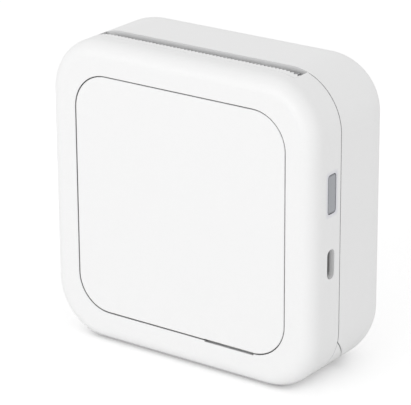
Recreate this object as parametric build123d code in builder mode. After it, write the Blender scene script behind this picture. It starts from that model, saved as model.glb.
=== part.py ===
from build123d import *
import os
from math import acos, atan2, cos, pi, radians, sin, sqrt, tan

# A pocket thermal printer for 57 mm paper rolls, standing on its bottom edge.
# Millimetres. X runs across the front, Y runs back from the front face, Z is up.
# The origin is the middle of the bottom. The front face looks along -Y.
# The casing is split across its depth. The front half is the fixed housing, and the
# deeper rear half is the paper cover, which swings on two pins at the bottom.

os.makedirs("parts", exist_ok=True)

# Casing
body_width = 82.0
body_height = 82.0
body_depth = 38.0
corner_radius = 15.0
front_edge_radius = 4.0
rear_edge_radius = 12.0
side_wall = 2.0
front_wall = 2.4
rear_wall = 2.0
split_from_front = 11.8
split_gap = 0.3
foot_bevel_height = 12.0
foot_side_inset = 8.0

# Hinge of the cover
hinge_ahead_of_bevel = 1.6
hinge_barrel_radius = 2.2
hinge_clearance = 0.3
hinge_pin_radius = 0.8
hinge_pin_running = 0.05
seat_gap = 0.02
knuckle_start = 16.0
knuckle_length = 8.0
knuckle_end_gap = 0.3
pin_overrun = 3.0
rib_depth = 0.9
rib_width = 1.2
rib_half_spacing = 14.0
rib_bottom_z = 18.0
rib_below_platen = 11.5

# Face plate
plate_side_margin = 8.7
plate_end_margin = 8.8
plate_radius = 9.5
plate_gap = 0.3
plate_thickness = 1.2
plate_edge_radius = 0.25
plate_tab_width = 6.0
plate_tab_thickness = 1.2
plate_tab_length = 1.1
plate_seat_gap = 0.05
plate_tab_inset = 4.0
plate_tab_side_inset = 14.3
plate_tab_gap = 0.2
notch_start_x = 8.0
notch_length = 15.2
notch_above_edge = 0.2
notch_below_gap = 0.3

# Paper slot and tear bar
slot_end_room = 0.5
slot_cut_depth = 11.0
tear_edge_from_split = 3.4
tear_bar_depth = 2.4
tear_bar_height = 1.0
tear_bar_gap = 0.05
tooth_pitch = 1.1
tooth_depth = 0.8

# Power button and its switch
button_from_front = 7.85
button_below_top = 29.1
button_width = 3.4
button_height = 10.0
button_corner = 0.8
button_edge_radius = 0.25
button_gap = 0.15
button_flange = 0.8
button_flange_margin = 0.9
button_wall_gap = 0.1
button_travel = 0.6
switch_length = 3.4
switch_width = 2.3
switch_height = 6.0
switch_corner = 0.3
plunger_width = 1.1
plunger_height = 3.0
plunger_corner = 0.2
plunger_out = 0.9
plunger_in = 0.9
plunger_gap = 0.1

# USB socket
usb_below_button = 18.4
usb_hole_width = 3.2
usb_hole_height = 7.8
usb_hole_radius = 1.4
usb_shell_width = 2.6
usb_shell_height = 7.5
usb_shell_length = 5.2
usb_shell_sheet = 0.3
usb_shell_corner = 0.7
usb_wall_inset = 0.6
usb_tongue_width = 0.6
usb_tongue_height = 4.6
usb_tongue_recess = 0.8

# Paper roll bay, as large as the casing's height and depth allow
roll_slack = 0.4
bay_wall = 1.0
bay_front_gap = 1.0
bay_rear_gap = 0.8
bay_below_frame = 0.5
bay_above_cell = 2.1
cheek_thickness = 1.2
cheek_corner = 2.5
cheek_cut_back = 6.0
cheek_cut_down = 10.0
cheek_above_board = 1.0
cheek_rise = 2.0
cheek_drop = 2.5
cradle_start_angle = 112.0
cradle_end_angle = 292.0
cradle_box_overlap = 0.6
guide_behind_platen = 2.0
guide_below_platen = 9.0
guide_thickness = 1.1
sensor_width = 5.0
sensor_height = 3.0
sensor_depth = 2.4
sensor_below_guide_top = 5.0

# Battery
cell_thickness = 10.0
cell_corner = 2.5
cell_bottom_z = 6.5
cell_gap = 0.2
cell_end_room = 5.8
cell_box_wall = 1.0
cell_box_corner = 0.8
box_board_gap = 0.3
box_rear_gap = 3.1

# Platen roller and gears
platen_from_front = 14.0
platen_below_top = 12.5
platen_radius = 4.8
platen_edge = 0.3
platen_shaft_radius = 1.5
shaft_edge = 0.2
shaft_overrun = 0.3
sleeve_radius = 2.2
sleeve_overrun = 0.2
paper_gap = 0.12
running_gap = 0.05
ear_gap = 0.35
ear_thickness = 1.4
ear_radius = 3.4
ear_cheek_gap = 0.5
bush_flange_length = 1.6
bush_radius = 3.0
bush_neck_radius = 2.3
gear_module = 0.4
gear_addendum = 0.8
gear_dedendum = 1.15
gear_backlash = 0.1
pressure_angle = 20.0
platen_teeth = 24
idler_small_teeth = 12
idler_large_teeth = 26
pinion_teeth = 12
gear_width = 2.4
gear_step_gap = 0.3
gear_hub_below_root = 0.6
gear_cheek_gap = 0.5
gear_wall_gap = 0.8
idler_ahead_of_platen = 5.6
idler_pin_radius = 0.9
axle_head_gap = 0.1
axle_head_length = 0.3
axle_head_margin = 0.5
motor_behind_idler = 1.32

# Platen holder
holder_thickness = 1.2
holder_roller_gap = 1.4
holder_below_top = 4.6
holder_below_platen = 6.5
lip_behind_tear_edge = 1.4
lip_below_top = 1.2
lip_end_inset = 1.5

# Print head
heater_thickness = 1.0
heater_height = 6.0
heater_end_inset = 0.75
heater_edge = 0.3
sink_thickness = 2.2
sink_height = 12.0
sink_side_gap = 0.2
sink_groove_depth = 0.5
sink_groove_width = 0.8
sink_groove_pitch = 2.4
sink_grooves = 5
head_spring_radius = 2.2
head_spring_wire = 0.4
head_spring_turns = 3
head_spring_spacing = 30.0
head_spring_clearance = 0.3
spring_pin_radius = 1.0
spring_pin_length = 0.8
head_travel = 0.4

# Mechanism frame
frame_cheek_gap = 0.2
frame_cheek_thickness = 1.2
frame_web_thickness = 1.0
frame_below_platen = 19.0
frame_above_platen = 6.0
frame_front_gap = 0.2
frame_guide_gap = 0.4
frame_neck_below_platen = 7.0
frame_neck_behind_platen = 3.6
frame_corner = 1.0
notch_lift = 0.7
web_window_width = 10.0
web_window_height = 8.0
web_window_corner = 1.0
web_window_rise = 6.5
web_window_inset = 7.5
cable_window_margin = 1.5
cable_window_rise = 9.0
stake_above_platen = 2.5
stake_side_inset = 7.6
motor_radius = 6.0
motor_length = 12.0
motor_edge = 0.4
motor_boss_length = 0.8
motor_boss_radius = 1.3
motor_boss_gap = 0.2
motor_shaft_radius = 0.5
motor_shaft_depth = 3.5
motor_shaft_overrun = 0.3

# Main board and what is soldered on it
board_thickness = 1.2
board_bottom_z = 4.5
board_strip_top_z = 19.5
board_left_inset = 6.0
board_arm_width = 5.3
board_side_gap = 0.7
board_above_button = 7.1
board_corner = 0.7
board_corner_cuts = (5.5, 5.0, 9.3, 2.3, 6.0, 11.5)
board_relief_drop = 2.5
board_relief_slope = 1.5
board_relief_gap = 0.2
lamp_below_button = 5.4
lamp_size = 1.6
lamp_height = 0.6
lamp_inset = 0.6
wireless_left_x = -16.0
wireless_width = 16.0
wireless_height = 11.0
wireless_thickness = 1.8
battery_plug_left_x = 6.0
battery_plug_width = 6.0
battery_plug_height = 4.5
battery_plug_depth = 4.0
parts_above_board_edge = 1.5

# Flat cable of the print head and its connector
cable_centre_x = 9.5
cable_half_width = 6.0
cable_thickness = 0.2
cable_off_board = 1.2
cable_off_wall = 0.5
cable_off_sink = 1.0
cable_bend_radius = 1.2
cable_first_rise = 3.0
cable_second_rise = 7.0
cable_below_platen = 11.5
flex_side_margin = 1.5
flex_below_strip_top = 2.5
flex_height = 3.0
flex_depth = 2.0

# Screws, bosses and tabs
screw_radius = 0.8
screw_head_radius = 1.5
screw_head_height = 0.9
screw_fit = 0.05
screw_bite = 3.0
boss_wall = 1.4
stake_radius = 0.8
stake_head_radius = 1.5
stake_head_height = 0.6
tab_thickness = 1.2
tab_half_height = 2.5
tab_end_margin = 0.2
tab_off_front_wall = 4.0
chassis_screw_inset = 4.4
chassis_screws_from_usb = (-10.5, 10.0)
board_screw_insets = (9.0, 8.5)
board_screw_rise = 9.0
holder_screw_inset = 9.6

# Worked out from the sizes above: across the width
inner_half_width = body_width / 2 - side_wall
plate_width = body_width - 2 * plate_side_margin
gear_room = 2 * gear_width + gear_step_gap + gear_cheek_gap + gear_wall_gap
frame_cheek_outer_x = inner_half_width - gear_room - axle_head_gap - axle_head_length
frame_cheek_inner_x = frame_cheek_outer_x - frame_cheek_thickness
cheek_outer_x = frame_cheek_inner_x - frame_cheek_gap
cheek_inner_x = cheek_outer_x - cheek_thickness
holder_half_width = frame_cheek_inner_x - ear_cheek_gap
platen_length = 2 * (holder_half_width - ear_thickness - ear_gap)
heater_length = platen_length - 2 * heater_end_inset
slot_half_length = holder_half_width + slot_end_room
lip_half_length = slot_half_length - lip_end_inset
cell_length = 2 * (cheek_outer_x - cell_end_room)
hinge_foot_half_length = body_width / 2 - foot_side_inset
small_gear_x = -(frame_cheek_outer_x + gear_cheek_gap + gear_width)
large_gear_x = small_gear_x - gear_step_gap - gear_width
flange_outer_x = inner_half_width - button_wall_gap
flange_inner_x = flange_outer_x - button_flange
board_left_x = board_left_inset - inner_half_width
board_arm_outer_x = inner_half_width - board_side_gap
board_arm_inner_x = board_arm_outer_x - board_arm_width
board_relief_x = flange_inner_x - button_travel - board_relief_gap
chassis_screw_x = inner_half_width - chassis_screw_inset

# Across the depth
front_y = -body_depth / 2
rear_y = body_depth / 2
split_y = front_y + split_from_front
inner_front_y = front_y + front_wall
inner_rear_y = rear_y - rear_wall
plate_back_y = front_y + plate_thickness
plate_floor_y = plate_back_y + plate_seat_gap
tear_edge_y = split_y - tear_edge_from_split
hinge_y = split_y + foot_bevel_height - hinge_ahead_of_bevel
button_y = front_y + button_from_front
board_front_y = button_y + switch_width / 2
board_rear_y = board_front_y + board_thickness
box_front_y = board_rear_y + box_board_gap
box_rear_y = inner_rear_y - box_rear_gap
cell_front_y = box_front_y + cell_box_wall + cell_gap
cell_rear_y = box_rear_y - cell_box_wall - cell_gap
platen_y = front_y + platen_from_front
idler_y = platen_y - idler_ahead_of_platen
motor_pinion_y = idler_y + motor_behind_idler
guide_y = platen_y + guide_behind_platen
frame_web_y = inner_front_y + frame_front_gap
heater_face_y = platen_y - platen_radius - paper_gap
sink_rear_y = heater_face_y - heater_thickness
sink_front_y = sink_rear_y - sink_thickness
holder_back_y = platen_y + platen_radius + holder_roller_gap
lip_front_y = tear_edge_y + lip_behind_tear_edge
tab_front_y = inner_front_y + tab_off_front_wall
tab_rear_y = tab_front_y + tab_thickness

# Up the height
middle_z = body_height / 2
plate_height = body_height - 2 * plate_end_margin
hinge_z = hinge_barrel_radius
hinge_swing_radius = hinge_barrel_radius + hinge_clearance
platen_z = body_height - platen_below_top
button_z = body_height - button_below_top
usb_z = button_z - usb_below_button
board_arm_top_z = button_z + board_above_button
parts_bottom_z = board_bottom_z + parts_above_board_edge
cell_top_z = cell_bottom_z + cell_thickness
frame_bottom_z = platen_z - frame_below_platen
frame_top_z = platen_z + frame_above_platen
guide_top_z = platen_z - guide_below_platen
sensor_z = guide_top_z - sensor_below_guide_top
holder_top_z = body_height - holder_below_top
holder_bottom_z = platen_z - holder_below_platen
lip_top_z = body_height - lip_below_top
mesh_distance_platen = gear_module * (platen_teeth + idler_small_teeth) / 2
mesh_distance_motor = gear_module * (idler_large_teeth + pinion_teeth) / 2
idler_z = platen_z - sqrt(mesh_distance_platen**2 - idler_ahead_of_platen**2)
motor_z = idler_z - sqrt(mesh_distance_motor**2 - motor_behind_idler**2)

# The paper roll: the largest that the height and the depth both allow
bay_depth = inner_rear_y - bay_rear_gap - inner_front_y - bay_front_gap
cradle_bottom_z = cell_top_z + bay_above_cell
cheek_top_z = frame_bottom_z - bay_below_frame
roll_radius_by_depth = (bay_depth - bay_wall) / 2 - roll_slack
roll_radius_by_height = (cheek_top_z - cradle_bottom_z - bay_wall - roll_slack) / 2
roll_radius = min(roll_radius_by_depth, roll_radius_by_height)
bay_radius = roll_radius + roll_slack
cradle_radius = bay_radius + bay_wall
bay_y = inner_rear_y - bay_rear_gap - bay_radius
bay_z = cradle_bottom_z + cradle_radius


# Helpers
def finish(part, name):
    """Labels a finished piece and writes its file."""
    part.label = name
    export_step(part, f"parts/{name}.step")
    print(name, round(part.volume, 1))


def side_plane(x):
    """A sketch plane seen along X, whose own axes are Y and Z."""
    return Plane(origin=(x, 0, 0), x_dir=(0, 1, 0), z_dir=(1, 0, 0))


def face_plane(y):
    """A sketch plane seen from the front, whose own axes are X and Z. It extrudes to -Y."""
    return Plane(origin=(0, y, 0), x_dir=(1, 0, 0), z_dir=(0, -1, 0))


def rounded_block(width, height, radius, y_front, y_rear, front_round, rear_round):
    """A block with a rounded outline seen from the front and rolled front and rear edges."""
    with BuildPart() as block:
        with BuildSketch(face_plane(y_rear)):
            with Locations((0, middle_z)):
                RectangleRounded(width, height, radius)
        extrude(amount=y_rear - y_front)
        fillet(block.faces().sort_by(Axis.Y)[0].edges(), front_round)
        fillet(block.faces().sort_by(Axis.Y)[-1].edges(), rear_round)
    return block.part


def front_region(shift, reach):
    """Everything in front of the split line, moved back by shift square to that line."""
    far = body_height + reach
    low = -reach
    line_y = split_y + shift
    bevel_y = split_y + foot_bevel_height + shift * sqrt(2)
    corner_z = bevel_y - line_y
    with BuildPart() as region:
        with BuildSketch(side_plane(-body_width)):
            with BuildLine():
                Polyline(
                    (front_y - reach, low),
                    (bevel_y - low, low),
                    (line_y, corner_z),
                    (line_y, far),
                    (front_y - reach, far),
                    close=True,
                )
            make_face()
        extrude(amount=2 * body_width)
    return region.part


def involute_angle(radius, base_radius):
    """How far an involute has turned when it reaches that radius, in radians."""
    alpha = acos(min(1.0, base_radius / radius))
    return tan(alpha) - alpha


def gear_outline(teeth, phase):
    """The corner points of a spur gear, with a tooth centred on the phase angle."""
    pitch_radius = gear_module * teeth / 2
    base_radius = pitch_radius * cos(radians(pressure_angle))
    root_radius = pitch_radius - gear_dedendum * gear_module
    tip_radius = pitch_radius + gear_addendum * gear_module
    half_at_pitch = pi / (2 * teeth) - gear_backlash / (2 * gear_module * teeth)
    start_radius = max(base_radius, root_radius)
    middle_radius = (start_radius + tip_radius) / 2
    flank = []
    for radius in (root_radius, start_radius, middle_radius, tip_radius):
        turned = involute_angle(max(radius, base_radius), base_radius)
        half = half_at_pitch + involute_angle(pitch_radius, base_radius) - turned
        flank.append((radius, half))
    points = []
    for tooth in range(teeth):
        centre = phase + 2 * pi * tooth / teeth
        for radius, half in flank:
            points.append((radius * cos(centre - half), radius * sin(centre - half)))
        for radius, half in reversed(flank):
            points.append((radius * cos(centre + half), radius * sin(centre + half)))
    return points


def toothed_disc(centre_y, centre_z, x_start, width, teeth, phase):
    """Draws a gear in the current part, from x_start towards +X."""
    corners = [(centre_y + y, centre_z + z) for y, z in gear_outline(teeth, phase)]
    with BuildSketch(side_plane(x_start)) as profile:
        with BuildLine():
            Polyline(*corners, close=True)
        make_face()
    extrude(profile.sketch, amount=width)


def rod(centre_y, centre_z, x_start, x_end, radius, mode=Mode.ADD):
    """Draws a round bar along X in the current part, or cuts one away."""
    with BuildSketch(side_plane(x_start)) as profile:
        with Locations((centre_y, centre_z)):
            Circle(radius)
    extrude(profile.sketch, amount=x_end - x_start, mode=mode)


def block(x, y, z, mode=Mode.ADD):
    """Draws a straight-sided block in the current part from its low and high values."""
    with Locations(((x[0] + x[1]) / 2, (y[0] + y[1]) / 2, (z[0] + z[1]) / 2)):
        Box(x[1] - x[0], y[1] - y[0], z[1] - z[0], mode=mode)


def post(x, z, y_start, y_end, radius, mode=Mode.ADD):
    """Draws a round boss along Y in the current part, or cuts one away."""
    with BuildSketch(face_plane(max(y_start, y_end))) as profile:
        with Locations((x, z)):
            Circle(radius)
    extrude(profile.sketch, amount=abs(y_end - y_start), mode=mode)


def screw_hole(x, z, mouth_y, direction):
    """Cuts a blind screw hole along Y from its mouth. Direction is where the screw points."""
    end_y = mouth_y + direction * (screw_bite + screw_fit)
    post(x, z, mouth_y, end_y, screw_radius + screw_fit, Mode.SUBTRACT)


def screw(x, z, head_y, direction):
    """Draws a screw along Y with its head's underside at head_y. Direction is where it points."""
    post(x, z, head_y, head_y + direction * (tab_thickness + screw_bite), screw_radius)
    post(x, z, head_y, head_y - direction * screw_head_height, screw_head_radius)


# Forms that several pieces of the casing are cut from
outer_form = rounded_block(
    body_width, body_height, corner_radius, front_y, rear_y, front_edge_radius, rear_edge_radius
)
inner_form = rounded_block(
    2 * inner_half_width,
    body_height - 2 * side_wall,
    corner_radius - side_wall,
    inner_front_y,
    inner_rear_y,
    front_edge_radius - side_wall,
    rear_edge_radius - rear_wall,
)
region_reach = 5.0
housing_region = front_region(-split_gap / 2, region_reach)
cover_keep_out = front_region(split_gap / 2, region_reach)
bar_rear_y = tear_edge_y
bar_front_y = tear_edge_y - tear_bar_depth


def top_skin(depth, half_length, y_low, y_high):
    """The outermost skin of the casing's top, that deep, between two places across it."""
    under_form = rounded_block(
        body_width - 2 * depth,
        body_height - 2 * depth,
        corner_radius - depth,
        front_y + depth,
        rear_y - depth,
        front_edge_radius - depth,
        rear_edge_radius - depth,
    )
    with BuildPart() as skin:
        block((-half_length, half_length), (y_low, y_high), (middle_z, body_height))
        add(outer_form, mode=Mode.INTERSECT)
        add(under_form, mode=Mode.SUBTRACT)
    return skin.part


bar_form = top_skin(tear_bar_height, slot_half_length, bar_front_y, bar_rear_y)
bar_rebate = top_skin(
    tear_bar_height + tear_bar_gap,
    slot_half_length + tear_bar_gap,
    bar_front_y - tear_bar_gap,
    bar_rear_y + tear_bar_gap,
)

# Places of bosses and tabs
boss_radius = screw_radius + screw_fit + boss_wall
sides = (-1, 1)
chassis_screws_at = []
plate_tabs_at = []
for side in sides:
    for height in chassis_screws_from_usb:
        chassis_screws_at.append((side * chassis_screw_x, usb_z + height))
    for up in sides:
        tab_up = middle_z + up * (plate_height / 2 - plate_tab_inset)
        plate_tabs_at.append((side * (plate_width / 2 - plate_tab_side_inset), tab_up))
board_screw_z = board_bottom_z + board_screw_rise
board_screws_at = [
    (board_screw_insets[0] - inner_half_width, board_screw_z),
    (inner_half_width - board_screw_insets[1], board_screw_z),
]
stake_x = cheek_inner_x - stake_side_inset
frame_stakes_at = [(side * stake_x, platen_z + stake_above_platen) for side in sides]
holder_screw_x = cheek_inner_x - holder_screw_inset
holder_screws_at = [(side * holder_screw_x, platen_z) for side in sides]

# Front housing: the fixed half of the casing, with the bevelled foot that carries the hinge
pocket_depth = plate_thickness + plate_seat_gap
pocket_width = plate_width + 2 * plate_gap
pocket_height = plate_height + 2 * plate_gap
pocket_bottom_z = middle_z - pocket_height / 2
knuckle_end = knuckle_start + knuckle_length
knuckle_spans = [(knuckle_start, knuckle_end), (-knuckle_end, -knuckle_start)]
with BuildPart() as front_housing:
    add(outer_form)
    add(inner_form, mode=Mode.SUBTRACT)
    add(housing_region, mode=Mode.INTERSECT)
    # The foot's lowest edge is cut back to the barrel, clear of the swinging cover
    block(
        (-body_width / 2, body_width / 2),
        (hinge_y, hinge_y + hinge_swing_radius),
        (-hinge_z, hinge_z),
        Mode.SUBTRACT,
    )
    rod(hinge_y, hinge_z, -hinge_foot_half_length, hinge_foot_half_length, hinge_barrel_radius)
    add(outer_form, mode=Mode.INTERSECT)
    for x, z in chassis_screws_at:
        post(x, z, inner_front_y - front_wall / 4, tab_front_y, boss_radius)
    for x, z in board_screws_at:
        post(x, z, inner_front_y - front_wall / 4, board_front_y, boss_radius)
    for x, z in frame_stakes_at:
        stake_seat_y = frame_web_y + frame_web_thickness + seat_gap
        post(x, z, inner_front_y - front_wall / 4, stake_seat_y, stake_radius)
        post(x, z, stake_seat_y, stake_seat_y + stake_head_height, stake_head_radius)
    with BuildSketch(face_plane(plate_floor_y)):
        with Locations((0, middle_z)):
            RectangleRounded(pocket_width, pocket_height, plate_radius + plate_gap)
    extrude(amount=pocket_depth, mode=Mode.SUBTRACT)
    notch_x = (notch_start_x, notch_start_x + notch_length)
    notch_z = (pocket_bottom_z - notch_below_gap, middle_z)
    block(notch_x, (front_y, plate_floor_y), notch_z, Mode.SUBTRACT)
    for x, z in plate_tabs_at:
        half_width = plate_tab_width / 2 + plate_tab_gap
        half_height = plate_tab_thickness / 2 + plate_tab_gap
        block(
            (x - half_width, x + half_width),
            (front_y, inner_front_y + front_wall),
            (z - half_height, z + half_height),
            Mode.SUBTRACT,
        )
    add(bar_rebate, mode=Mode.SUBTRACT)
    block(
        (-slot_half_length, slot_half_length),
        (tear_edge_y, split_y + split_gap),
        (body_height - slot_cut_depth, body_height),
        Mode.SUBTRACT,
    )
    for x_low, x_high in knuckle_spans:
        block(
            (x_low - knuckle_end_gap, x_high + knuckle_end_gap),
            (hinge_y - hinge_swing_radius, hinge_y + 2 * hinge_swing_radius),
            (-hinge_z, 2 * hinge_z + hinge_clearance),
            Mode.SUBTRACT,
        )
        rod(
            hinge_y,
            hinge_z,
            x_low - pin_overrun,
            x_high + pin_overrun,
            hinge_pin_radius + seat_gap,
            Mode.SUBTRACT,
        )
    for x, z in chassis_screws_at:
        screw_hole(x, z, tab_front_y, -1)
    for x, z in board_screws_at:
        screw_hole(x, z, board_front_y, -1)
    with BuildSketch(side_plane(inner_half_width - button_flange)):
        with Locations((button_y, button_z)):
            RectangleRounded(
                button_width + 2 * button_gap,
                button_height + 2 * button_gap,
                button_corner + button_gap,
            )
        with Locations((board_front_y - usb_shell_width / 2, usb_z)):
            RectangleRounded(usb_hole_width, usb_hole_height, usb_hole_radius)
    extrude(amount=2 * side_wall, mode=Mode.SUBTRACT)
finish(front_housing.part, "front_housing")

# Rear cover: the deeper half, which swings back on the hinge and carries the platen
cover_edge_y = hinge_y + hinge_swing_radius
cover_clear_half = hinge_foot_half_length + 4 * hinge_clearance
rib_top_z = platen_z - rib_below_platen
holder_rear_y = holder_back_y + holder_thickness
with BuildPart() as rear_cover:
    add(outer_form)
    add(inner_form, mode=Mode.SUBTRACT)
    add(cover_keep_out, mode=Mode.SUBTRACT)
    block(
        (-cover_clear_half, cover_clear_half),
        (split_y, cover_edge_y),
        (-hinge_z, hinge_z),
        Mode.SUBTRACT,
    )
    rod(hinge_y, hinge_z, -cover_clear_half, cover_clear_half, hinge_swing_radius, Mode.SUBTRACT)
    for x_low, x_high in knuckle_spans:
        rod(hinge_y, hinge_z, x_low, x_high, hinge_barrel_radius)
        block((x_low, x_high), (hinge_y, cover_edge_y + rear_wall), (0, hinge_z + hinge_pin_radius))
        rod(hinge_y, hinge_z, x_low, x_high, hinge_pin_radius + hinge_pin_running, Mode.SUBTRACT)
    for x, z in holder_screws_at:
        post(x, z, holder_rear_y, inner_rear_y + rear_wall / 4, boss_radius)
        screw_hole(x, z, holder_rear_y, 1)
    for x in (-rib_half_spacing, rib_half_spacing):
        block(
            (x - rib_width / 2, x + rib_width / 2),
            (inner_rear_y - rib_depth, inner_rear_y + rear_wall / 4),
            (rib_bottom_z, rib_top_z),
        )
finish(rear_cover.part, "rear_cover")

# Face plate: the thin square panel, held by four tabs
with BuildPart() as face_plate:
    with BuildSketch(face_plane(plate_back_y)):
        with Locations((0, middle_z)):
            RectangleRounded(plate_width, plate_height, plate_radius)
    extrude(amount=plate_thickness)
    fillet(face_plate.faces().sort_by(Axis.Y)[0].edges(), plate_edge_radius)
    plate_bottom_z = middle_z - plate_height / 2
    block(notch_x, (front_y, plate_back_y), (0, plate_bottom_z + notch_above_edge), Mode.SUBTRACT)
    for x, z in plate_tabs_at:
        block(
            (x - plate_tab_width / 2, x + plate_tab_width / 2),
            (plate_back_y, plate_back_y + plate_tab_length),
            (z - plate_tab_thickness / 2, z + plate_tab_thickness / 2),
        )
finish(face_plate.part, "face_plate")

# Tear bar: the serrated strip that the paper is torn against
tooth_count = int(2 * slot_half_length / tooth_pitch)
first_tooth_x = -tooth_count * tooth_pitch / 2
gullets = [(first_tooth_x, bar_rear_y + tooth_depth)]
for tooth in range(tooth_count):
    gullets.append((first_tooth_x + tooth * tooth_pitch, bar_rear_y - tooth_depth))
    gullets.append((first_tooth_x + (tooth + 0.5) * tooth_pitch, bar_rear_y))
gullets.append((-first_tooth_x, bar_rear_y - tooth_depth))
gullets.append((-first_tooth_x, bar_rear_y + tooth_depth))
with BuildPart() as tear_bar:
    add(bar_form)
    with BuildSketch(Plane.XY.offset(middle_z)):
        with BuildLine():
            Polyline(*gullets, close=True)
        make_face()
    extrude(amount=middle_z, mode=Mode.SUBTRACT)
finish(tear_bar.part, "tear_bar")

# Hinge pins
with BuildPart() as hinge_pins:
    for x_low, x_high in knuckle_spans:
        pin_room = pin_overrun - seat_gap
        rod(hinge_y, hinge_z, x_low - pin_room, x_high + pin_room, hinge_pin_radius)
finish(hinge_pins.part, "hinge_pins")

# Chassis: the moulding that holds the paper roll over a closed box for the battery
box_bottom_z = cell_bottom_z - cell_gap - cell_box_wall
box_half_length = cell_length / 2 + cell_gap + cell_box_wall
cheek_front_y = inner_front_y + bay_front_gap
cheek_rear_y = bay_y + roll_radius
cheek_low_front_z = board_strip_top_z + cheek_above_board
cheek_low_z = cradle_bottom_z - cheek_drop
tab_end_x = chassis_screw_x + boss_radius + tab_end_margin
with BuildPart() as chassis:
    with BuildSketch(side_plane(-cheek_outer_x)) as cradle_profile:
        with BuildLine():
            span = cradle_end_angle - cradle_start_angle
            inside = CenterArc((bay_y, bay_z), bay_radius, cradle_start_angle, span)
            outside = CenterArc((bay_y, bay_z), cradle_radius, cradle_start_angle, span)
            Line(inside @ 0, outside @ 0)
            Line(inside @ 1, outside @ 1)
        make_face()
    extrude(amount=2 * cheek_outer_x)
    for x_start in (-cheek_outer_x, cheek_inner_x):
        with BuildSketch(side_plane(x_start)) as cheek_profile:
            with BuildLine():
                Polyline(
                    (cheek_front_y, cheek_low_front_z),
                    (cheek_front_y, cheek_top_z),
                    (guide_y, cheek_top_z),
                    (guide_y, guide_top_z),
                    (guide_y + guide_thickness, guide_top_z),
                    (guide_y + 2 * guide_thickness, cheek_top_z + cheek_rise),
                    (cheek_rear_y - cheek_cut_back, cheek_top_z),
                    (cheek_rear_y, cheek_top_z - cheek_cut_down),
                    (cheek_rear_y, cheek_low_front_z + cheek_rise),
                    (box_rear_y - cheek_cut_back / 2, cheek_low_z),
                    (box_front_y + cell_box_wall / 2, cheek_low_z),
                    (box_front_y + cell_box_wall / 2, cheek_low_front_z),
                    close=True,
                )
            make_face()
            fillet(cheek_profile.vertices().group_by(Axis.X)[-1], cheek_corner)
        extrude(amount=cheek_thickness)
    block(
        (-cheek_outer_x, cheek_outer_x),
        (guide_y, guide_y + guide_thickness),
        (cheek_top_z, guide_top_z),
    )
    block(
        (-box_half_length, box_half_length),
        (box_front_y, box_rear_y),
        (box_bottom_z, cradle_bottom_z + cradle_box_overlap),
    )
    fillet(chassis.edges().filter_by(Axis.X).group_by(Axis.Z)[0], cell_box_corner)
    block(
        (-cell_length / 2 - cell_gap, box_half_length + cell_box_wall),
        (cell_front_y - cell_gap, cell_rear_y + cell_gap),
        (cell_bottom_z - cell_gap, cell_top_z + cell_gap),
        Mode.SUBTRACT,
    )
    block(
        (-sensor_width / 2 - seat_gap, sensor_width / 2 + seat_gap),
        (guide_y - guide_thickness, guide_y + 2 * guide_thickness),
        (sensor_z - sensor_height / 2 - seat_gap, sensor_z + sensor_height / 2 + seat_gap),
        Mode.SUBTRACT,
    )
    for x, z in chassis_screws_at:
        side = x / abs(x)
        near_x = side * (cheek_inner_x + cheek_thickness / 2)
        far_x = side * tab_end_x
        block(
            (min(near_x, far_x), max(near_x, far_x)),
            (tab_front_y, tab_rear_y),
            (z - tab_half_height, z + tab_half_height),
        )
        hole_radius = screw_radius + screw_fit
        post(x, z, tab_front_y - tab_thickness, tab_rear_y + tab_thickness, hole_radius, Mode.SUBTRACT)
finish(chassis.part, "chassis")

# Battery: a flat lithium cell with rounded long edges
with BuildPart() as battery_cell:
    with BuildSketch(side_plane(-cell_length / 2)):
        with Locations(((cell_front_y + cell_rear_y) / 2, (cell_bottom_z + cell_top_z) / 2)):
            RectangleRounded(cell_rear_y - cell_front_y, cell_thickness, cell_corner)
    extrude(amount=cell_length)
finish(battery_cell.part, "battery_cell")

# Main board: an L-shaped circuit board, a strip along the bottom and an arm up the right side
board_relief_z = button_z - button_height / 2 - board_relief_drop
left_cut_x, left_cut_z, right_cut_x, right_step_x, right_step_z, right_cut_z = board_corner_cuts
with BuildPart() as main_board:
    with BuildSketch(face_plane(board_rear_y)) as board_profile:
        with BuildLine():
            Polyline(
                (board_left_x, board_strip_top_z),
                (board_left_x, board_bottom_z + left_cut_z),
                (board_left_x + left_cut_x, board_bottom_z),
                (board_arm_outer_x - right_cut_x, board_bottom_z),
                (board_arm_outer_x - right_step_x, board_bottom_z + right_step_z),
                (board_arm_outer_x, board_bottom_z + right_cut_z),
                (board_arm_outer_x, board_relief_z - board_relief_slope),
                (board_relief_x, board_relief_z),
                (board_relief_x, board_arm_top_z),
                (board_arm_inner_x, board_arm_top_z),
                (board_arm_inner_x, board_strip_top_z),
                close=True,
            )
        make_face()
        fillet(board_profile.vertices(), board_corner)
        with Locations(*board_screws_at):
            Circle(screw_radius + screw_fit, mode=Mode.SUBTRACT)
    extrude(amount=board_thickness)
finish(main_board.part, "main_board")

# USB socket: a folded steel shell on the board's front, with its contact tongue
usb_y = board_front_y - usb_shell_width / 2
usb_mouth_x = inner_half_width - usb_wall_inset
usb_back_x = usb_mouth_x - usb_shell_length
with BuildPart() as usb_socket:
    with BuildSketch(side_plane(usb_back_x)):
        with Locations((usb_y, usb_z)):
            RectangleRounded(usb_shell_width, usb_shell_height, usb_shell_corner)
    extrude(amount=usb_shell_length)
    with BuildSketch(side_plane(usb_back_x + usb_shell_sheet)):
        with Locations((usb_y, usb_z)):
            RectangleRounded(
                usb_shell_width - 2 * usb_shell_sheet,
                usb_shell_height - 2 * usb_shell_sheet,
                usb_shell_corner - usb_shell_sheet,
            )
    extrude(amount=usb_shell_length, mode=Mode.SUBTRACT)
    block(
        (usb_back_x + usb_shell_sheet / 2, usb_mouth_x - usb_tongue_recess),
        (usb_y - usb_tongue_width / 2, usb_y + usb_tongue_width / 2),
        (usb_z - usb_tongue_height / 2, usb_z + usb_tongue_height / 2),
    )
finish(usb_socket.part, "usb_socket")

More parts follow.
